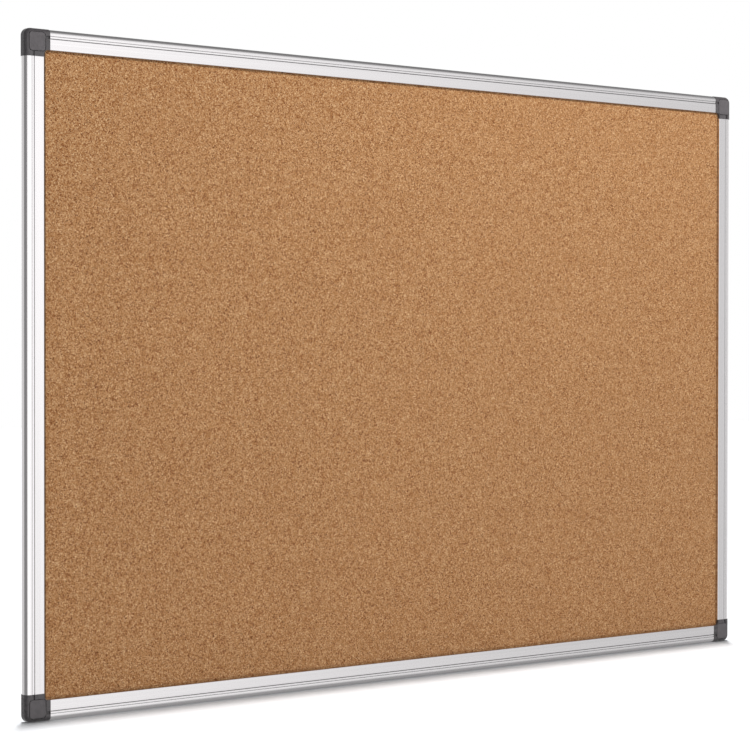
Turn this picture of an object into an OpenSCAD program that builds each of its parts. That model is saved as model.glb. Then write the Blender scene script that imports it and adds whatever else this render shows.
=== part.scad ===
// Cork bulletin board: a cork-faced panel in an aluminium edge frame with plastic corners.
// Each corner holds a wall screw in a pocket, under a square clip-on cover.
// Millimetres. X runs along the width, +Z is up, the wall plane is y = 0 and the front faces -Y.
// The origin is the centre of the board, on the wall plane.
// Sections are drawn in edge coordinates: a is the distance in from the outer edge and
// b is the distance out from the wall. A corner is drawn with its outer tip at (0, 0), and
// its two directions in from the edges are x and y, with b along z.

/* [Board] */
// Overall width, corners included
board_w = 900; // [400:50:1800]
// Overall height, corners included
board_h = 600; // [300:50:1200]

/* [Rails] */
// Distance from the wall to the front of a rail
rail_depth = 10; // [10:0.5:13]
// Width of a rail seen from the front
rail_face = 18; // [17.5:0.5:20]
// Radius of the rounded front outer edge
nose_r = 4; // [3:0.25:4.5]
// Radius of the rounded back outer edge
back_r = 2.6; // [2.4:0.1:3]
// Wall thickness of the extrusion
wall = 1.1; // [1:0.1:1.2]

/* [Panel] */
// Thickness of the cork
cork_t = 1.8; // [1.5:0.1:3]
// Thickness of the backing paper
backing_t = 0.4; // [0.3:0.1:0.8]
// Drop from the front of the rails to the cork
cork_drop = 2; // [1.5:0.1:2.2]

/* [Corners] */
// Side of the square corner
cap_size = 24.3; // [24:0.1:26]
// How far a corner stands proud of the rails, at the front and the outer edges
cap_proud = 0.3; // [0.2:0.1:0.4]
// Radius of the outer corner seen from the front
cap_r = 6.5; // [5:0.5:7]
// Distance of the wall screw from the outer edges
screw_inset = 8; // [7.9:0.1:8.1]
// Radius of the wall screw hole
screw_hole_r = 2.4; // [2:0.1:2.6]
// Side of the square screw cover
cover_size = 16.2; // [16:0.1:16.4]

/* [Hidden] */
$fn = 96;
// small overlap between joined shapes, and how far a cut runs past the surface it opens
eps = 0.02;
over = 1;

// rail section
web_out = 12.4;
web_in = 13.4;
flange_in = 15.6;
bead_w = 1.2;
bead_ease = 0.5;
line_a = [5.9, 8.1];
line_r = [0.32, 0.45];
strip_drop = 0.12;

// corner
cap_depth = rail_depth + cap_proud;
cap_inner = rail_face + cap_proud;
cap_back_r = 1.8;
cap_fillet = 3.5;
slot_a = web_in + cap_proud + 0.2;
leg_len = 32;
leg_gap = 0.2;
leg_lead = 6;
leg_lead_drop = 0.5;
leg_root = 2;
floor_t = 2.5;
pocket_half = 4.5;
pocket_r = 1.2;

// screw cover
cover_t = 1.3;
cover_proud = 0.15;
cover_r = 3;
cover_ease = 0.45;
cover_gap = 0.4;
cover_seat = 0.05;
cover_a = 3.3;
cover_mid = cover_a + cover_size / 2;
cover_back = cap_depth + cover_proud - cover_t;
finger_gap = 0.2;
finger_t = 0.9;
finger_w = 4;
finger_len = 3;
notch_len = 4.4;
notch_w = 2.4;
notch_depth = 1;
notch_a = (line_a[0] + line_a[1]) / 2 + cap_proud;
notch_end = cap_size - 0.4;

// panel
cork_front = rail_depth - cork_drop;
core_front = cork_front - cork_t;
core_back = wall + backing_t;
panel_edge = slot_a + 0.2;
panel_w = board_w - 2 * panel_edge;
panel_h = board_h - 2 * panel_edge;

// small screws that hold the corner legs in the rails
fixing_at = cap_size + 12;
fixing_a = (wall + web_out) / 2;
fixing_head_r = 2.2;
fixing_r = 1.1;
fixing_gap = 0.05;
fixing_len = 6.5;
fixing_tip = 1.5;
fixing_end_r = 0.2;
recess_w = 0.6;
recess_len = 2.6;
recess_depth = 0.7;

CORNERS = [[-1, 1], [1, 1], [-1, -1], [1, -1]];

aluminium = [0.84, 0.84, 0.85];
dark_plastic = [0.27, 0.25, 0.26];
cover_plastic = [0.35, 0.33, 0.34];
zinc = [0.62, 0.63, 0.65];
cork = [0.72, 0.52, 0.34];
softboard = [0.55, 0.44, 0.33];
kraft = [0.74, 0.65, 0.52];

// ---- shared outlines ----

// a bar section of the given size whose outer side, at a = 0, is rounded front and back
module rounded_bar(width, depth, front_r, rear_r) {
    difference() {
        square([width, depth]);
        difference() {
            translate([-eps, depth - front_r]) square([front_r + eps, front_r + eps]);
            translate([front_r, depth - front_r]) circle(r = front_r);
        }
        difference() {
            translate([-eps, -eps]) square([rear_r + eps, rear_r + eps]);
            translate([rear_r, rear_r]) circle(r = rear_r);
        }
    }
}

// a square with rounded corners, centred
module rounded_square(side, r) {
    square([side - 2 * r, side], center = true);
    square([side, side - 2 * r], center = true);
    for (sx = [-1, 1], sy = [-1, 1])
        translate([sx * (side / 2 - r), sy * (side / 2 - r)]) circle(r = r);
}

// places edge coordinates on each side of the board: side 0 is left, then bottom, right and top
module on_side(side) {
    reach = (side % 2 == 0) ? board_w / 2 : board_h / 2;
    rotate([0, -90 * side, 0])
        translate([cap_proud - reach, 0, 0])
            rotate([180, 0, 0])
                children();
}

// places corner coordinates at one corner of the board
module at_corner(c) {
    turn = (c[0] < 0) ? ((c[1] < 0) ? 0 : 90) : ((c[1] < 0) ? -90 : 180);
    translate([c[0] * board_w / 2, 0, c[1] * board_h / 2])
        rotate([0, turn, 0])
            rotate([90, 0, 0])
                children();
}

// both arms of a corner: the child once as drawn and once with x and y swapped
module both_arms() {
    children();
    mirror([1, -1, 0]) children();
}

// ---- rails ----

module rail_section() {
    difference() {
        union() {
            rounded_bar(web_in, rail_depth, nose_r, back_r);
            translate([web_out, rail_depth - wall]) square([rail_face - web_out, wall]);
            translate([rail_face - bead_w, cork_front]) square([bead_w, cork_drop]);
            translate([web_out, 0]) square([flange_in - web_out, wall]);
        }
        translate([wall, wall])
            rounded_bar(web_out - wall, rail_depth - 2 * wall, nose_r - wall, back_r - wall);
        // the inner edge of the lip is eased
        difference() {
            translate([rail_face - bead_ease, rail_depth - bead_ease]) square(bead_ease + eps);
            translate([rail_face - bead_ease, rail_depth - bead_ease]) circle(r = bead_ease);
        }
        // two fine round grooves with a slightly lower strip between them
        for (i = [0, 1])
            translate([line_a[i], rail_depth]) circle(r = line_r[i]);
        translate([line_a[0], rail_depth - strip_drop])
            square([line_a[1] - line_a[0], strip_drop + eps]);
    }
}

// one side's rail, with a countersunk hole near each end for the corner's fixing screw
module rail(side) {
    length = ((side % 2 == 0) ? board_h : board_w) - 2 * cap_size;
    hole_at = length / 2 - (fixing_at - cap_size);
    color(aluminium)
        on_side(side)
            difference() {
                linear_extrude(length, center = true) rail_section();
                for (s = [-1, 1])
                    translate([fixing_a, 0, s * hole_at])
                        rotate([-90, 0, 0])
                            fixing_outline(fixing_gap);
            }
}

// ---- corners ----

// the solid corner block with the rounded edge carried round its outer tip
module cap_block() {
    front_r = nose_r + cap_proud;
    translate([cap_r, cap_r, 0])
        rotate([0, 0, 180])
            rotate_extrude(angle = 90)
                translate([cap_r, 0])
                    mirror([1, 0])
                        rounded_bar(cap_r, cap_depth, front_r, cap_back_r);
    both_arms()
        translate([0, cap_size, 0])
            rotate([90, 0, 0])
                linear_extrude(cap_size - cap_r)
                    rounded_bar(cap_r, cap_depth, front_r, cap_back_r);
    translate([cap_r, cap_r, 0]) cube([cap_size - cap_r, cap_size - cap_r, cap_depth]);
}

// the inner part of the square that is cut away where the cork shows, with a fillet between the arms
module cap_window() {
    span = cap_size - cap_inner + over;
    translate([cap_inner, cap_inner, -over])
        linear_extrude(cap_depth + 2 * over) {
            translate([cap_fillet, cap_fillet]) circle(r = cap_fillet);
            translate([cap_fillet, 0]) square([span - cap_fillet, span]);
            translate([0, cap_fillet]) square([span, span - cap_fillet]);
        }
}

// the leg that fills the rail's chamber, with a thinner lead-in at its end
module leg() {
    inset = cap_proud + wall + leg_gap;
    width = web_out - wall - 2 * leg_gap;
    depth = rail_depth - 2 * wall - 2 * leg_gap;
    r_front = nose_r - wall - leg_gap;
    r_rear = back_r - wall - leg_gap;
    body_len = leg_len - leg_lead;
    translate([inset, cap_size + body_len, wall + leg_gap])
        rotate([90, 0, 0])
            linear_extrude(body_len + leg_root)
                rounded_bar(width, depth, r_front, r_rear);
    translate([inset + leg_lead_drop, cap_size + leg_len, wall + leg_gap + leg_lead_drop])
        rotate([90, 0, 0])
            linear_extrude(leg_lead + eps)
                rounded_bar(width - 2 * leg_lead_drop, depth - 2 * leg_lead_drop,
                            r_front - leg_lead_drop, r_rear - leg_lead_drop);
}

module corner_body(c) {
    color(dark_plastic)
        at_corner(c)
            difference() {
                union() {
                    difference() {
                        cap_block();
                        cap_window();
                        translate([slot_a, slot_a, wall])
                            cube([cap_size, cap_size, cork_front - wall]);
                        // recess that the screw cover sits in
                        translate([cover_mid, cover_mid, cover_back - cover_seat])
                            linear_extrude(cap_depth)
                                rounded_square(cover_size + 2 * cover_gap, cover_r + cover_gap);
                        // pocket for the head of the wall screw
                        translate([screw_inset, screw_inset, floor_t])
                            linear_extrude(cap_depth)
                                rounded_square(2 * pocket_half, pocket_r);
                        // a finger-nail slot on each arm, in line with the rail's two grooves
                        both_arms()
                            translate([notch_a - notch_w / 2, notch_end - notch_len, cap_depth - notch_depth])
                                cube([notch_w, notch_len, cap_depth]);
                    }
                    both_arms() leg();
                }
                // hole for the wall screw
                translate([screw_inset, screw_inset, -over])
                    cylinder(r = screw_hole_r, h = floor_t + 2 * over);
                // holes in the legs for the fixing screws
                both_arms()
                    translate([fixing_a + cap_proud, fixing_at, 0])
                        cylinder(r = fixing_r + fixing_gap, h = fixing_len + fixing_tip + fixing_gap);
            }
}

// ---- screw covers ----

// section across the cover's edge, from a corner's centre line at x = 0 out to its side
module cover_edge() {
    difference() {
        square([cover_r, cover_t]);
        difference() {
            translate([cover_r - cover_ease, cover_t - cover_ease]) square(cover_ease + eps);
            translate([cover_r - cover_ease, cover_t - cover_ease]) circle(r = cover_ease);
        }
    }
}

module screw_cover(c) {
    straight = cover_size - 2 * cover_r;
    color(cover_plastic)
        at_corner(c) {
            translate([cover_mid, cover_mid, cover_back]) {
                translate([-straight / 2, -straight / 2, 0]) cube([straight, straight, cover_t]);
                for (turn = [0:90:270])
                    rotate([0, 0, turn]) {
                        translate([straight / 2, straight / 2, 0])
                            rotate_extrude(angle = 90)
                                cover_edge();
                        translate([straight / 2, straight / 2, 0])
                            rotate([90, 0, 0])
                                linear_extrude(straight)
                                    cover_edge();
                    }
            }
            // spring fingers that grip the sides of the screw pocket
            translate([screw_inset, screw_inset, cover_back - finger_len])
                for (turn = [0:90:270])
                    rotate([0, 0, turn])
                        translate([pocket_half - finger_gap - finger_t, -finger_w / 2, 0])
                            cube([finger_t, finger_w, finger_len + eps]);
        }
}

// ---- small fixing screws ----

// the countersunk head and shank about z, with the head's flat face at z = 0
module fixing_outline(gap) {
    translate([0, 0, -eps])
        cylinder(r = fixing_head_r + gap, h = 2 * eps);
    cylinder(r1 = fixing_head_r + gap, r2 = fixing_r + gap, h = wall);
    cylinder(r = fixing_r + gap, h = fixing_len);
}

module fixing_screw() {
    difference() {
        union() {
            cylinder(r1 = fixing_head_r, r2 = fixing_r, h = wall);
            translate([0, 0, wall - eps]) cylinder(r = fixing_r, h = fixing_len - wall + eps);
            translate([0, 0, fixing_len]) cylinder(r1 = fixing_r, r2 = fixing_end_r, h = fixing_tip);
        }
        for (turn = [0, 90])
            rotate([0, 0, turn])
                translate([-recess_len / 2, -recess_w / 2, -over])
                    cube([recess_len, recess_w, recess_depth + over]);
    }
}

module corner_fixing_screws() {
    color(zinc)
        for (c = CORNERS)
            at_corner(c)
                both_arms()
                    translate([fixing_a + cap_proud, fixing_at, 0])
                        fixing_screw();
}

// ---- panel ----

// one layer of the panel between two distances from the wall
module layer(back, front) {
    translate([-panel_w / 2, -front, -panel_h / 2]) cube([panel_w, front - back, panel_h]);
}

module cork_sheet() {
    color(cork) layer(core_front, cork_front);
}

module core_board() {
    color(softboard) layer(core_back, core_front);
}

module backing_sheet() {
    color(kraft) layer(wall, core_back);
}

cork_sheet();
core_board();
backing_sheet();
rail(0);  // left_rail
rail(1);  // bottom_rail
rail(2);  // right_rail
rail(3);  // top_rail
corner_body([-1, 1]);  // corner_body_top_left
corner_body([1, 1]);  // corner_body_top_right
corner_body([-1, -1]);  // corner_body_bottom_left
corner_body([1, -1]);  // corner_body_bottom_right
screw_cover([-1, 1]);  // screw_cover_top_left
screw_cover([1, 1]);  // screw_cover_top_right
screw_cover([-1, -1]);  // screw_cover_bottom_left
screw_cover([1, -1]);  // screw_cover_bottom_right
corner_fixing_screws();
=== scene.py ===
"""The looks of the cork bulletin board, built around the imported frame.

Metres, +Z up, the cork facing -Y and the wall plane at y = 0, as in the part itself.
"""

import math

import bmesh
import bpy
import numpy as np
from mathutils import Matrix, Vector


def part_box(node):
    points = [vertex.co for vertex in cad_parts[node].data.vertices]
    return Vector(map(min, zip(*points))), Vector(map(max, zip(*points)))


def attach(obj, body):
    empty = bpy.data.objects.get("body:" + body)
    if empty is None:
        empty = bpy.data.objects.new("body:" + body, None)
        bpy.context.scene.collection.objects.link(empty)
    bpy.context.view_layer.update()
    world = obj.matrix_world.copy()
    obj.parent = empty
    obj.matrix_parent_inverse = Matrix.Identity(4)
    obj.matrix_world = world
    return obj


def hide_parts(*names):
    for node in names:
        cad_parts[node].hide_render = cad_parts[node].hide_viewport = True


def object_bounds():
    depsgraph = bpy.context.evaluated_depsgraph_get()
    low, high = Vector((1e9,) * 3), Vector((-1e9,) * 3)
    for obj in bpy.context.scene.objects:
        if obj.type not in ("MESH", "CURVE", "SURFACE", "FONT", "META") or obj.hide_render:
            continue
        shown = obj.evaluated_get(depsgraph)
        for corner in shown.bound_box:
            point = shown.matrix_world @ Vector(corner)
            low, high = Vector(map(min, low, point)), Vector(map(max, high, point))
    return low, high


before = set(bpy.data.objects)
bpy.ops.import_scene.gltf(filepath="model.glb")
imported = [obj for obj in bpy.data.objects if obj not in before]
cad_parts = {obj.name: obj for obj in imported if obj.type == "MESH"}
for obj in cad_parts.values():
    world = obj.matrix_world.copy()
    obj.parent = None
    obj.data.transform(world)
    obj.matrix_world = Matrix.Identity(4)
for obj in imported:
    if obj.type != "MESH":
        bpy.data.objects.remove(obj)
cad_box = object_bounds()

MM = 0.001
SEED = 41
CORNERS = ("top_left", "top_right", "bottom_left", "bottom_right")
LEVEL_RAILS = ("top_rail", "bottom_rail")
UPRIGHT_RAILS = ("left_rail", "right_rail")


# ---- camera ----

CAMERA_PLACE = (-1.5108, -1.7577, 0.0288)
CAMERA_YAW = -39.702
CAMERA_PITCH = -0.782
CAMERA_ROLL = -0.078
CAMERA_LENS = 112.79


def add_camera():
    data = bpy.data.cameras.new("camera")
    data.sensor_width = 36.0
    data.lens = CAMERA_LENS
    data.clip_end = 50.0
    camera = bpy.data.objects.new("camera", data)
    turn = Matrix.Rotation(math.radians(CAMERA_YAW), 4, "Z")
    turn = turn @ Matrix.Rotation(math.radians(CAMERA_PITCH), 4, "X")
    turn = turn @ Matrix.Rotation(math.radians(CAMERA_ROLL), 4, "Y")
    turn = turn @ Matrix.Rotation(math.radians(90.0), 4, "X")
    camera.matrix_world = Matrix.Translation(CAMERA_PLACE) @ turn
    bpy.context.scene.collection.objects.link(camera)
    bpy.context.scene.camera = camera


# ---- node helpers ----


class Nodes:
    """Builds one node tree: values and links are given by socket name."""

    def __init__(self, tree):
        self.tree = tree
        self.tree.nodes.clear()

    def add(self, kind, values=None, **settings):
        node = self.tree.nodes.new(kind)
        for name, value in settings.items():
            setattr(node, name, value)
        for name, value in (values or {}).items():
            self.feed(node.inputs[name], value)
        return node

    def feed(self, socket, value):
        if isinstance(value, bpy.types.NodeSocket):
            self.tree.links.new(value, socket)
        else:
            socket.default_value = value

    def math(self, operation, a, b=0.0):
        return self.add("ShaderNodeMath", {0: a, 1: b}, operation=operation).outputs[0]

    def mix(self, share, a, b, blend="MIX"):
        node = self.add("ShaderNodeMix", data_type="RGBA", blend_type=blend)
        self.feed(node.inputs[0], share)
        self.feed(node.inputs[6], a)
        self.feed(node.inputs[7], b)
        return node.outputs[2]

    def remap(self, value, from_low, from_high, to_low, to_high, smooth=False):
        return self.add(
            "ShaderNodeMapRange",
            {0: value, 1: from_low, 2: from_high, 3: to_low, 4: to_high},
            interpolation_type="SMOOTHSTEP" if smooth else "LINEAR",
        ).outputs[0]

    def blend(self, share, a, b):
        """A number that goes from a to b as share goes from 0 to 1."""
        return self.add("ShaderNodeMix", {0: share, 2: a, 3: b}, data_type="FLOAT").outputs[0]

    def ramp(self, value, stops):
        node = self.add("ShaderNodeValToRGB", {"Fac": value})
        ramp = node.color_ramp
        while len(ramp.elements) < len(stops):
            ramp.elements.new(0.5)
        for element, (place, colour) in zip(ramp.elements, stops):
            element.position = place
            element.color = (*colour, 1.0)
        return node.outputs["Color"]

    def place(self, scale=(1, 1, 1), offset=(0, 0, 0)):
        where = self.add("ShaderNodeTexCoord").outputs["Object"]
        return self.add(
            "ShaderNodeMapping",
            {"Vector": where, "Scale": scale, "Location": offset},
        ).outputs["Vector"]

    def noise(self, vector, scale, detail=2.0, roughness=0.5):
        values = {"Vector": vector, "Scale": scale, "Detail": detail, "Roughness": roughness}
        return self.add("ShaderNodeTexNoise", values).outputs["Fac"]

    def bump(self, height, distance, strength=1.0, below=None):
        values = {"Height": height, "Distance": distance, "Strength": strength}
        if below is not None:
            values["Normal"] = below
        return self.add("ShaderNodeBump", values).outputs["Normal"]


def new_material(name):
    material = bpy.data.materials.new(name)
    material.use_nodes = True
    return material, Nodes(material.node_tree)


def finish_material(nodes, values):
    shader = nodes.add("ShaderNodeBsdfPrincipled", values)
    output = nodes.add("ShaderNodeOutputMaterial")
    nodes.feed(output.inputs["Surface"], shader.outputs["BSDF"])


def srgb(red, green, blue):
    """Linear colour from the usual 0 to 255 screen values."""
    def linear(value):
        share = value / 255.0
        return share / 12.92 if share <= 0.04045 else ((share + 0.055) / 1.055) ** 2.4

    return linear(red), linear(green), linear(blue)


# ---- materials ----

# cork granules per metre, and how far and how finely their outlines are pulled out of round
COARSE_GRANULES = 900.0
FINE_GRANULES = 1500.0
OUTLINE_WOBBLE = 0.9 * MM
WOBBLE_NOISE = 900.0
# cells per metre that a bark speck may fill, and the share of them that one does fill
BARK_CELLS = 540.0
BARK_SHARE = 0.05
BARK_COLOUR = srgb(86, 46, 16)

# the colours that a granule is picked from
GRANULE_STOPS = (
    (0.00, srgb(92, 38, 12)),
    (0.12, srgb(118, 66, 28)),
    (0.30, srgb(149, 101, 58)),
    (0.60, srgb(171, 126, 83)),
    (0.84, srgb(190, 149, 107)),
    (1.00, srgb(211, 175, 133)),
)

# painted shade on the cork beside the left, right, bottom and top lip: the distance from the lip where
# it starts to clear, the distance where it has cleared, and the light left where it is darkest
PAINTED_LIP_SHADES = (
    (1.8 * MM, 3.3 * MM, 0.30),
    (0.0 * MM, 1.2 * MM, 0.50),
    (0.1 * MM, 1.1 * MM, 0.50),
    (0.2 * MM, 1.1 * MM, 0.64),
)

# the rails' face in front of the wall, the band of it, in from the outer edge, that holds the two
# grooves, the depth below the face where their painted shade starts, the depth over which it comes in,
# and its colour
RAIL_FRONT = 10.0 * MM
GROOVE_SPAN = (5.2 * MM, 8.8 * MM)
GROOVE_DARK_FROM = 0.24 * MM
GROOVE_DARK_OVER = 0.08 * MM
GROOVE_SHADE_COLOUR = (0.34, 0.33, 0.335)

# aluminium from its darkest draw line to its lightest
DRAWN_STOPS = (
    (0.30, (0.825, 0.80, 0.81)),
    (0.50, (0.89, 0.866, 0.875)),
    (0.70, (0.925, 0.905, 0.91)),
)

SOFTBOARD_STOPS = ((0.3, srgb(92, 70, 50)), (0.55, srgb(142, 113, 84)), (0.8, srgb(178, 150, 118)))
PAPER_STOPS = ((0.32, srgb(150, 122, 90)), (0.5, srgb(181, 152, 117)), (0.68, srgb(205, 178, 143)))
PAPER_FLECK = srgb(112, 84, 56)
ZINC_STOPS = ((0.3, (0.50, 0.50, 0.49)), (0.7, (0.72, 0.72, 0.74)))
FLOOR_COLOUR = (0.708, 0.72, 0.738)
FLOOR_GLOW = 0.04

# plastics: the two colours of the mottle, the grain's specks per metre and the roughness
BODY_PLASTIC = ((0.053, 0.048, 0.050), (0.072, 0.065, 0.068), 2600.0, 0.27)
COVER_PLASTIC = ((0.072, 0.065, 0.068), (0.096, 0.087, 0.091), 2200.0, 0.44)


def cork_material(window_low, window_high):
    """Pressed cork granules with dark seams, a few specks of bark and painted shade beside the lip."""
    material, nodes = new_material("cork")
    flat = nodes.place()
    # granule outlines are pulled out of round by a fine noise
    wobble = nodes.add(
        "ShaderNodeTexNoise", {"Vector": flat, "Scale": WOBBLE_NOISE, "Detail": 1.0}
    ).outputs["Color"]
    wobble = nodes.add(
        "ShaderNodeVectorMath", {0: wobble, 1: (0.5, 0.5, 0.5)}, operation="SUBTRACT"
    ).outputs[0]
    wobble = nodes.add(
        "ShaderNodeVectorMath", {0: wobble, "Scale": OUTLINE_WOBBLE}, operation="SCALE"
    ).outputs[0]
    bent = nodes.add("ShaderNodeVectorMath", {0: flat, 1: wobble}, operation="ADD").outputs[0]

    # two sizes of granule, mixed in small patches
    coarse = nodes.add("ShaderNodeTexVoronoi", {"Vector": bent, "Scale": COARSE_GRANULES})
    fine = nodes.add("ShaderNodeTexVoronoi", {"Vector": bent, "Scale": FINE_GRANULES})
    coarse_pick = nodes.add("ShaderNodeSeparateColor", {"Color": coarse.outputs["Color"]})
    fine_pick = nodes.add("ShaderNodeSeparateColor", {"Color": fine.outputs["Color"]})
    coarse_colour = nodes.ramp(coarse_pick.outputs["Red"], GRANULE_STOPS)
    fine_colour = nodes.ramp(fine_pick.outputs["Green"], GRANULE_STOPS)
    patch = nodes.noise(flat, 620.0, 1.0)
    share = nodes.remap(patch, 0.42, 0.58, 0.2, 0.8)
    colour = nodes.mix(share, coarse_colour, fine_colour)

    # dark seams between the larger granules
    seams = nodes.add(
        "ShaderNodeTexVoronoi",
        {"Vector": bent, "Scale": COARSE_GRANULES},
        feature="DISTANCE_TO_EDGE",
    ).outputs["Distance"]
    colour = nodes.mix(1.0, colour, nodes.remap(seams, 0.0, 0.12, 0.72, 1.0), "MULTIPLY")

    # sparse specks of dark bark
    bark = nodes.add("ShaderNodeTexVoronoi", {"Vector": bent, "Scale": BARK_CELLS})
    bark_pick = nodes.add("ShaderNodeSeparateColor", {"Color": bark.outputs["Color"]})
    chosen = nodes.math("GREATER_THAN", bark_pick.outputs["Blue"], 1.0 - BARK_SHARE)
    heart = nodes.remap(bark.outputs["Distance"], 0.25, 0.5, 0.85, 0.0)
    colour = nodes.mix(nodes.math("MULTIPLY", chosen, heart), colour, (*BARK_COLOUR, 1.0))

    # soft clouding across the whole sheet
    cloud = nodes.noise(flat, 9.0, 3.0, 0.6)
    cloud_tint = nodes.remap(cloud, 0.3, 0.7, 0.988, 1.012)
    colour = nodes.mix(1.0, colour, cloud_tint, "MULTIPLY")

    # painted shade along the lip, which reaches furthest on the left
    position = nodes.add("ShaderNodeTexCoord").outputs["Object"]
    where = nodes.add("ShaderNodeSeparateXYZ", {"Vector": position})
    gaps = (
        nodes.math("SUBTRACT", where.outputs["X"], window_low[0]),
        nodes.math("SUBTRACT", window_high[0], where.outputs["X"]),
        nodes.math("SUBTRACT", where.outputs["Z"], window_low[1]),
        nodes.math("SUBTRACT", window_high[1], where.outputs["Z"]),
    )
    light = 1.0
    for gap, (dark_to, clear_from, darkest) in zip(gaps, PAINTED_LIP_SHADES):
        shade = nodes.remap(gap, dark_to, clear_from, darkest, 1.0, smooth=True)
        light = nodes.math("MINIMUM", light, shade)
    colour = nodes.mix(1.0, colour, light, "MULTIPLY")

    cell_height = nodes.math("SUBTRACT", 1.0, coarse.outputs["Distance"])
    normal = nodes.bump(cell_height, 0.2 * MM, 0.5)
    normal = nodes.bump(nodes.noise(flat, 1800.0, 2.0), 0.12 * MM, 0.5, normal)
    rough = nodes.remap(fine_pick.outputs["Blue"], 0.0, 1.0, 0.82, 0.96)
    finish_material(
        nodes,
        {
            "Base Color": colour,
            "Roughness": rough,
            "Normal": normal,
            "Specular IOR Level": 0.25,
        },
    )
    return material


def aluminium_material(name, along, half_span):
    """Satin anodised aluminium with lines drawn along it and painted shade in its two grooves."""
    material, nodes = new_material(name)
    fine, coarse = 5200.0, 6.0
    scale = [fine, fine, fine]
    scale[along] = coarse
    lines = nodes.noise(nodes.place(tuple(scale)), 1.0, 3.0, 0.6)
    broad = [700.0, 700.0, 700.0]
    broad[along] = 1.5
    bands = nodes.noise(nodes.place(tuple(broad)), 1.0, 2.0)
    tone = nodes.math("ADD", nodes.math("MULTIPLY", lines, 0.5), nodes.math("MULTIPLY", bands, 0.5))
    colour = nodes.ramp(tone, DRAWN_STOPS)

    # painted shade in the two grooves: the colour darkens below the face within the band that holds
    # them
    position = nodes.add("ShaderNodeTexCoord").outputs["Object"]
    where = nodes.add("ShaderNodeSeparateXYZ", {"Vector": position})
    across = "Z" if along == 0 else "X"
    inward = nodes.math("SUBTRACT", half_span, nodes.math("ABSOLUTE", where.outputs[across]))
    below = nodes.math("ADD", where.outputs["Y"], RAIL_FRONT)
    dark_at = GROOVE_DARK_FROM + GROOVE_DARK_OVER
    deep = nodes.remap(below, GROOVE_DARK_FROM, dark_at, 0.0, 1.0)
    from_nose = nodes.math("GREATER_THAN", inward, GROOVE_SPAN[0])
    to_land = nodes.math("LESS_THAN", inward, GROOVE_SPAN[1])
    groove = nodes.math("MULTIPLY", deep, nodes.math("MULTIPLY", from_nose, to_land))
    colour = nodes.mix(groove, colour, (*GROOVE_SHADE_COLOUR, 1.0))

    rough = nodes.remap(tone, 0.3, 0.7, 0.25, 0.18)
    normal = nodes.bump(lines, 0.02 * MM, 0.25)
    finish_material(
        nodes, {"Base Color": colour, "Metallic": 1.0, "Roughness": rough, "Normal": normal}
    )
    return material


def plastic_material(name, colour, lighter, grain, gloss):
    """Moulded plastic with a fine spark-eroded grain and a little mottling."""
    material, nodes = new_material(name)
    flat = nodes.place()
    mottle = nodes.noise(flat, 260.0, 3.0, 0.6)
    share = nodes.remap(mottle, 0.35, 0.65, 0.0, 1.0)
    tint = nodes.mix(share, (*colour, 1.0), (*lighter, 1.0))
    skin = nodes.noise(flat, grain, 2.0, 0.6)
    rough = nodes.remap(mottle, 0.3, 0.7, gloss - 0.05, gloss + 0.07)
    normal = nodes.bump(skin, 0.05 * MM, 0.35)
    finish_material(
        nodes,
        {"Base Color": tint, "Roughness": rough, "Normal": normal, "IOR": 1.5},
    )
    return material


def softboard_material():
    """Pressed wood-fibre core, seen only at its cut edges."""
    material, nodes = new_material("softboard")
    fibres = nodes.noise(nodes.place((900.0, 2600.0, 900.0)), 1.0, 4.0, 0.65)
    colour = nodes.ramp(fibres, SOFTBOARD_STOPS)
    normal = nodes.bump(fibres, 0.2 * MM, 0.6)
    finish_material(nodes, {"Base Color": colour, "Roughness": 0.92, "Normal": normal})
    return material


def paper_material():
    """Brown backing paper with short fibres, roller streaks, dark flecks and slight cockling."""
    material, nodes = new_material("backing_paper")
    fibres = nodes.noise(nodes.place((340.0, 900.0, 1500.0)), 1.0, 4.0, 0.7)
    flecks = nodes.noise(nodes.place((1400.0, 900.0, 420.0), (0.3, 0.1, 0.7)), 1.0, 3.0, 0.7)
    tone = nodes.math("ADD", nodes.math("MULTIPLY", fibres, 0.5), nodes.math("MULTIPLY", flecks, 0.5))
    colour = nodes.ramp(tone, PAPER_STOPS)
    streaks = nodes.noise(nodes.place((4.0, 200.0, 220.0)), 1.0, 3.0, 0.6)
    colour = nodes.mix(1.0, colour, nodes.remap(streaks, 0.3, 0.7, 0.965, 1.035), "MULTIPLY")
    cloud = nodes.noise(nodes.place(), 24.0, 4.0, 0.65)
    colour = nodes.mix(1.0, colour, nodes.remap(cloud, 0.3, 0.7, 0.96, 1.035), "MULTIPLY")
    specks = nodes.place((260.0, 260.0, 150.0))
    fleck = nodes.add("ShaderNodeTexVoronoi", {"Vector": specks, "Scale": 1.0})
    fleck_pick = nodes.add("ShaderNodeSeparateColor", {"Color": fleck.outputs["Color"]})
    chosen = nodes.math("GREATER_THAN", fleck_pick.outputs["Red"], 0.93)
    heart = nodes.remap(fleck.outputs["Distance"], 0.1, 0.3, 0.5, 0.0)
    colour = nodes.mix(nodes.math("MULTIPLY", chosen, heart), colour, (*PAPER_FLECK, 1.0))
    cockle = nodes.noise(nodes.place((5.0, 5.0, 9.0)), 1.0, 1.0)
    normal = nodes.bump(cockle, 4.0 * MM, 0.6)
    normal = nodes.bump(tone, 0.05 * MM, 0.5, normal)
    finish_material(nodes, {"Base Color": colour, "Roughness": 0.86, "Normal": normal})
    return material


def zinc_material():
    """Zinc-plated steel with a faint mottled passivation."""
    material, nodes = new_material("zinc_steel")
    flat = nodes.place()
    mottle = nodes.noise(flat, 900.0, 3.0, 0.6)
    colour = nodes.ramp(mottle, ZINC_STOPS)
    rough = nodes.remap(mottle, 0.3, 0.7, 0.32, 0.46)
    finish_material(nodes, {"Base Color": colour, "Metallic": 1.0, "Roughness": rough})
    return material


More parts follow.
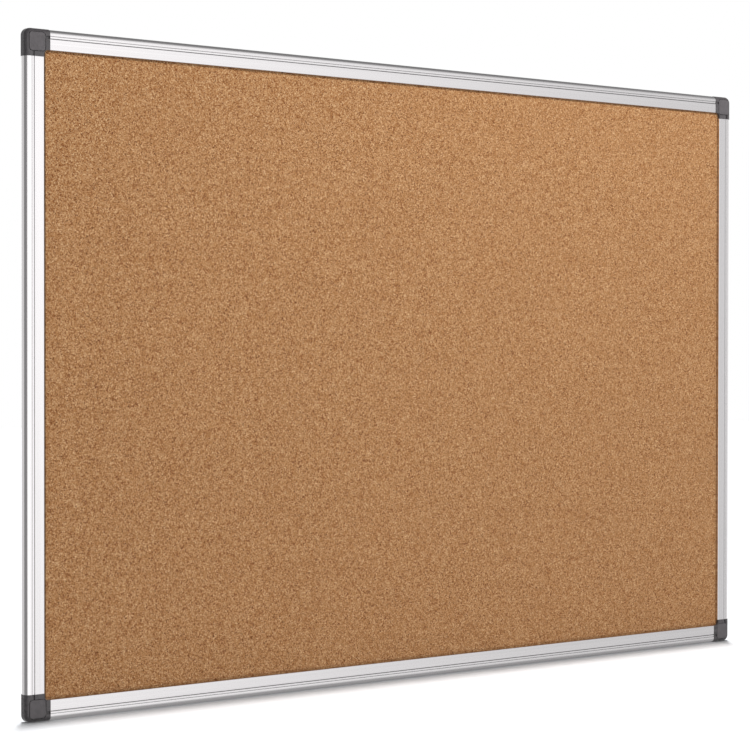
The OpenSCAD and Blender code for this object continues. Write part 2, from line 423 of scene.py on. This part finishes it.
def floor_material():
    material, nodes = new_material("studio_floor")
    finish_material(
        nodes,
        {
            "Base Color": (*FLOOR_COLOUR, 1.0),
            "Roughness": 0.9,
            "Specular IOR Level": 0.0,
            "Emission Color": (1.0, 1.0, 1.0, 1.0),
            "Emission Strength": FLOOR_GLOW,
        },
    )
    return material


# ---- cork sheet ----

# the cork face's mesh lines: their distances from a lip in millimetres, and the pitch of the rest
LIP_LINES = (-0.6, -0.1, 0.2, 0.5, 0.9, 1.3, 1.8, 2.4, 3.2)
FACE_PITCH = 2.3 * MM
# its relief goes into the sheet, and starts over this distance from the lip
RELIEF_START = 0.3 * MM
# the dip along the lip: its depth, and its distance from the lip, which is its half width as well
LIP_DIP = 0.75 * MM
LIP_DIP_AT = 0.9 * MM
# the depth of single granules, and the depth and size of patches and of waves
GRANULE_RELIEF = 0.035 * MM
PATCH_RELIEF = 0.03 * MM
PATCH_SIZE = 5.0 * MM
WAVE_RELIEF = 0.10 * MM
WAVE_SIZE = 90.0 * MM


def smooth_noise(u, v, cell, rng):
    """Value noise between 0 and 1 on the grid of positions u by v, with the given cell size."""
    iu = (u - u[0]) / cell
    iv = (v - v[0]) / cell
    lattice = rng.random((int(iu[-1]) + 2, int(iv[-1]) + 2))
    iu0 = iu.astype(int)
    iv0 = iv.astype(int)
    fu = iu - iu0
    fv = iv - iv0
    fu = (fu * fu * (3 - 2 * fu))[:, None]
    fv = (fv * fv * (3 - 2 * fv))[None, :]
    near = lattice[iu0][:, iv0] * (1 - fu) + lattice[iu0 + 1][:, iv0] * fu
    far = lattice[iu0][:, iv0 + 1] * (1 - fu) + lattice[iu0 + 1][:, iv0 + 1] * fu
    return near * (1 - fv) + far * fv


def grid_lines(low, high, window_low, window_high, pitch):
    """Positions across the sheet: close together beside each lip and evenly spaced between."""
    close = np.array(LIP_LINES) * MM
    inner_low = window_low + close[-1]
    inner_high = window_high - close[-1]
    count = int(round((inner_high - inner_low) / pitch))
    middle = np.linspace(inner_low, inner_high, count + 1)[1:-1]
    near = window_low + close
    far = (window_high - close)[::-1]
    return np.concatenate(([low], near, middle, far, [high]))


def build_cork(window_low, window_high):
    """The cork sheet as one closed mesh whose face has granule relief and dips beside the lip."""
    low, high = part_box("cork_sheet")
    xs = grid_lines(low.x, high.x, window_low[0], window_high[0], FACE_PITCH)
    zs = grid_lines(low.z, high.z, window_low[1], window_high[1], FACE_PITCH)
    rng = np.random.default_rng(SEED)
    gap_x = np.minimum(xs - window_low[0], window_high[0] - xs)[:, None]
    gap_z = np.minimum(zs - window_low[1], window_high[1] - zs)[None, :]
    gap = np.minimum(gap_x, gap_z)
    inside = np.clip(gap / RELIEF_START, 0.0, 1.0)
    dip = np.exp(-((gap - LIP_DIP_AT) / LIP_DIP_AT) ** 2) * LIP_DIP
    granules = rng.random((len(xs), len(zs))) * GRANULE_RELIEF
    granules += smooth_noise(xs, zs, PATCH_SIZE, rng) * PATCH_RELIEF
    waves = smooth_noise(xs, zs, WAVE_SIZE, rng) * WAVE_RELIEF
    depth = inside * (dip + granules + waves)

    count_x, count_z = len(xs), len(zs)
    points = np.zeros((count_x, count_z, 3))
    points[:, :, 0] = xs[:, None]
    points[:, :, 1] = low.y + depth
    points[:, :, 2] = zs[None, :]
    index = np.arange(count_x * count_z).reshape(count_x, count_z)
    quads = np.stack(
        (index[:-1, :-1], index[1:, :-1], index[1:, 1:], index[:-1, 1:]), axis=-1
    ).reshape(-1, 4)
    back = count_x * count_z
    corners = [
        (low.x, high.y, low.z),
        (high.x, high.y, low.z),
        (high.x, high.y, high.z),
        (low.x, high.y, high.z),
    ]
    faces = [list(map(int, q)) for q in quads]
    faces.append([back, back + 3, back + 2, back + 1])
    faces.append([back, back + 1] + [int(i) for i in index[::-1, 0]])
    faces.append([back + 2, back + 3] + [int(i) for i in index[:, -1]])
    faces.append([back + 3, back] + [int(i) for i in index[0, :]])
    faces.append([back + 1, back + 2] + [int(i) for i in index[-1, ::-1]])
    mesh = bpy.data.meshes.new("cork_face")
    mesh.from_pydata([tuple(p) for p in points.reshape(-1, 3)] + corners, [], faces)
    mesh.polygons.foreach_set("use_smooth", [True] * len(quads) + [False] * 5)
    mesh.update()
    cork = bpy.data.objects.new("cork_face", mesh)
    bpy.context.scene.collection.objects.link(cork)
    cork.data.materials.append(cork_material(window_low, window_high))
    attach(cork, "frame")
    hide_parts("cork_sheet")


# ---- pieces finished from their CAD shapes ----

# the radius of a corner body's and a cover's edges
BODY_EDGE = 0.25 * MM
COVER_EDGE = 0.12 * MM
# points closer than this are one, faces within the first angle are one, and edges past the second
# are rounded
MERGE_GAP = 0.002 * MM
FLAT_ANGLE = math.radians(1.0)
EDGE_ANGLE = math.radians(40.0)


def finished_copy(node, body, material, edge_radius):
    """The node's own shape with its flat faces joined up and its edges rounded as moulded ones are."""
    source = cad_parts[node]
    work = bmesh.new()
    work.from_mesh(source.data)
    bmesh.ops.remove_doubles(work, verts=work.verts, dist=MERGE_GAP)
    bmesh.ops.dissolve_limit(
        work, angle_limit=FLAT_ANGLE, verts=work.verts, edges=work.edges
    )
    mesh = bpy.data.meshes.new(node + "_finished")
    work.to_mesh(mesh)
    work.free()
    piece = bpy.data.objects.new(node + "_finished", mesh)
    bpy.context.scene.collection.objects.link(piece)
    bevel = piece.modifiers.new("edges", "BEVEL")
    bevel.limit_method = "ANGLE"
    bevel.angle_limit = EDGE_ANGLE
    bevel.width = edge_radius
    bevel.segments = 3
    bevel.use_clamp_overlap = True
    mesh.polygons.foreach_set("use_smooth", [True] * len(mesh.polygons))
    smooth = piece.modifiers.new("normals", "WEIGHTED_NORMAL")
    smooth.keep_sharp = True
    mesh.materials.append(material)
    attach(piece, body)
    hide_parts(node)


def dress_node(node, material):
    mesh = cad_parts[node].data
    mesh.materials.clear()
    mesh.materials.append(material)


# ---- studio ----

# even light on everything that isn't gloss
WORLD_FILL = 0.30

# what the gloss sees: the places of two panels as azimuth and elevation in degrees, how bright each
# part of the room is, and the direction cosines between which it fades in
LEFT_PANEL_AT = (-20.0, 2.0)
LEFT_PANEL_FADE = (0.78, 0.97)
RIGHT_PANEL_AT = (15.0, 6.0)
RIGHT_PANEL = 1.25
RIGHT_PANEL_FALL = 6.0
WALL_BEHIND = 0.8
WALL_BEHIND_FADE = (0.65, 1.0)
WALL_RIGHT = 0.66
WALL_RIGHT_FADE = (0.75, 0.84)
ROOM_BELOW = 0.14
ROOM_BELOW_FADE = (-0.3, -0.8)
ROOM_DIM = (0.24, 0.2)
ROOM_DIM_FADE = (-0.75, -0.3)

# the overhead strip: its tilt behind the board and half its spread, both in degrees, the number of
# its parts and the energy of the middle one
STRIP_TILT = 2.35
STRIP_SPREAD = 2.9
STRIP_PARTS = 5
STRIP_ENERGY = 0.92

# the soft lights' places and sizes in metres, and their power in watts
KEY_PLACE = (0.38, -1.15, 1.25)
KEY_SIZE = (1.2, 0.8)
KEY_POWER = 31.0
BACK_PLACE = (0.6, 2.2, 1.2)
BACK_SIZE = (2.0, 1.6)
BACK_POWER = 30.0

FLOOR_REACH = 6.0


def facing(nodes, way, place):
    """How closely a direction points at an azimuth, from -Y towards +X, and elevation in degrees."""
    across, up = (math.radians(angle) for angle in place)
    aim = (math.sin(across) * math.cos(up), -math.cos(across) * math.cos(up), math.sin(up))
    return nodes.add(
        "ShaderNodeVectorMath", {0: way, 1: aim}, operation="DOT_PRODUCT"
    ).outputs["Value"]


def add_world():
    """What the gloss sees: two soft panels in front, pale walls behind and to the right, else dim."""
    world = bpy.data.worlds.new("studio")
    bpy.context.scene.world = world
    world.use_nodes = True
    nodes = Nodes(world.node_tree)
    way = nodes.add("ShaderNodeTexCoord").outputs["Generated"]
    parts = nodes.add("ShaderNodeSeparateXYZ", {"Vector": way})
    towards_right = nodes.math("MAXIMUM", facing(nodes, way, RIGHT_PANEL_AT), 0.0)
    right_shape = nodes.math("POWER", towards_right, RIGHT_PANEL_FALL)
    right_panel = nodes.math("MULTIPLY", right_shape, RIGHT_PANEL)
    towards_left = facing(nodes, way, LEFT_PANEL_AT)
    left_panel = nodes.remap(towards_left, *LEFT_PANEL_FADE, 0.0, 1.0, smooth=True)
    behind = nodes.remap(parts.outputs["Y"], *WALL_BEHIND_FADE, 0.0, WALL_BEHIND, smooth=True)
    right_wall = nodes.remap(parts.outputs["X"], *WALL_RIGHT_FADE, 0.0, WALL_RIGHT, smooth=True)
    below = nodes.remap(parts.outputs["Z"], *ROOM_BELOW_FADE, 0.0, ROOM_BELOW, smooth=True)
    dim = nodes.remap(parts.outputs["X"], *ROOM_DIM_FADE, *ROOM_DIM)
    dim = nodes.math("ADD", dim, below)
    gloss = nodes.math("MAXIMUM", left_panel, right_panel)
    gloss = nodes.math("MAXIMUM", gloss, nodes.math("MAXIMUM", behind, right_wall))
    gloss = nodes.math("ADD", gloss, dim)
    ray = nodes.add("ShaderNodeLightPath")
    strength = nodes.blend(ray.outputs["Is Glossy Ray"], WORLD_FILL, gloss)
    strength = nodes.blend(ray.outputs["Is Camera Ray"], strength, 1.0)
    white = (1.0, 1.0, 1.0, 1.0)
    background = nodes.add("ShaderNodeBackground", {"Color": white, "Strength": strength})
    output = nodes.add("ShaderNodeOutputWorld")
    nodes.feed(output.inputs["Surface"], background.outputs[0])


def link_light(light, receiver, state):
    """Lights only the receiver for the state INCLUDE, and all but the receiver for EXCLUDE."""
    group = bpy.data.collections.new(light.name + "_link")
    group.objects.link(receiver)
    light.light_linking.receiver_collection = group
    group.collection_objects[0].light_linking.link_state = state


def add_light(name, place, size, power, not_on):
    """A soft light aimed at the board's centre, unseen by the gloss, that leaves not_on unlit."""
    data = bpy.data.lights.new(name, "AREA")
    data.shape = "RECTANGLE"
    data.size, data.size_y = size
    data.energy = power
    light = bpy.data.objects.new(name, data)
    bpy.context.scene.collection.objects.link(light)
    light.location = place
    light.rotation_euler = Vector(place).to_track_quat("Z", "Y").to_euler()
    light.visible_glossy = False
    link_light(light, not_on, "EXCLUDE")


def add_overhead(floor):
    """A narrow strip of overhead light, whose shadow of the board falls towards the camera."""
    for step in range(STRIP_PARTS):
        across = (2 * step + 1) / STRIP_PARTS - 1.0
        data = bpy.data.lights.new("overhead_%d" % step, "SUN")
        data.energy = STRIP_ENERGY * math.sqrt(1.0 - across * across)
        data.angle = math.radians(2.0 * STRIP_SPREAD / STRIP_PARTS)
        light = bpy.data.objects.new(data.name, data)
        bpy.context.scene.collection.objects.link(light)
        tilt = math.radians(across * STRIP_SPREAD - STRIP_TILT)
        light.rotation_euler = (tilt, 0.0, math.radians(CAMERA_YAW))
        light.visible_glossy = False
        link_light(light, floor, "INCLUDE")


def add_floor():
    reach = FLOOR_REACH
    level = cad_box[0].z
    corners = ((-reach, -reach), (reach, -reach), (reach, reach), (-reach, reach))
    mesh = bpy.data.meshes.new("floor")
    mesh.from_pydata([(x, y, level) for x, y in corners], [], [(0, 1, 2, 3)])
    floor = bpy.data.objects.new("floor", mesh)
    bpy.context.scene.collection.objects.link(floor)
    mesh.materials.append(floor_material())
    floor.visible_glossy = False
    return floor


def add_studio():
    add_world()
    floor = add_floor()
    add_overhead(floor)
    add_light("key", KEY_PLACE, KEY_SIZE, KEY_POWER, floor)
    add_light("back_fill", BACK_PLACE, BACK_SIZE, BACK_POWER, floor)


# ---- assembly ----

bpy.context.scene.view_settings.view_transform = "Standard"
add_camera()
add_studio()

window_low = (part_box("left_rail")[1].x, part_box("bottom_rail")[1].z)
window_high = (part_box("right_rail")[0].x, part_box("top_rail")[0].z)
build_cork(window_low, window_high)

level_aluminium = aluminium_material("aluminium_level", 0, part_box("top_rail")[1].z)
upright_aluminium = aluminium_material("aluminium_upright", 2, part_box("right_rail")[1].x)
for rail in LEVEL_RAILS:
    dress_node(rail, level_aluminium)
for rail in UPRIGHT_RAILS:
    dress_node(rail, upright_aluminium)

body_plastic = plastic_material("corner_plastic", *BODY_PLASTIC)
cover_plastic = plastic_material("cover_plastic", *COVER_PLASTIC)
for corner in CORNERS:
    finished_copy("corner_body_" + corner, "frame", body_plastic, BODY_EDGE)
    finished_copy(
        "screw_cover_" + corner, "cover_" + corner, cover_plastic, COVER_EDGE
    )

dress_node("core_board", softboard_material())
dress_node("backing_sheet", paper_material())
dress_node("corner_fixing_screws", zinc_material())
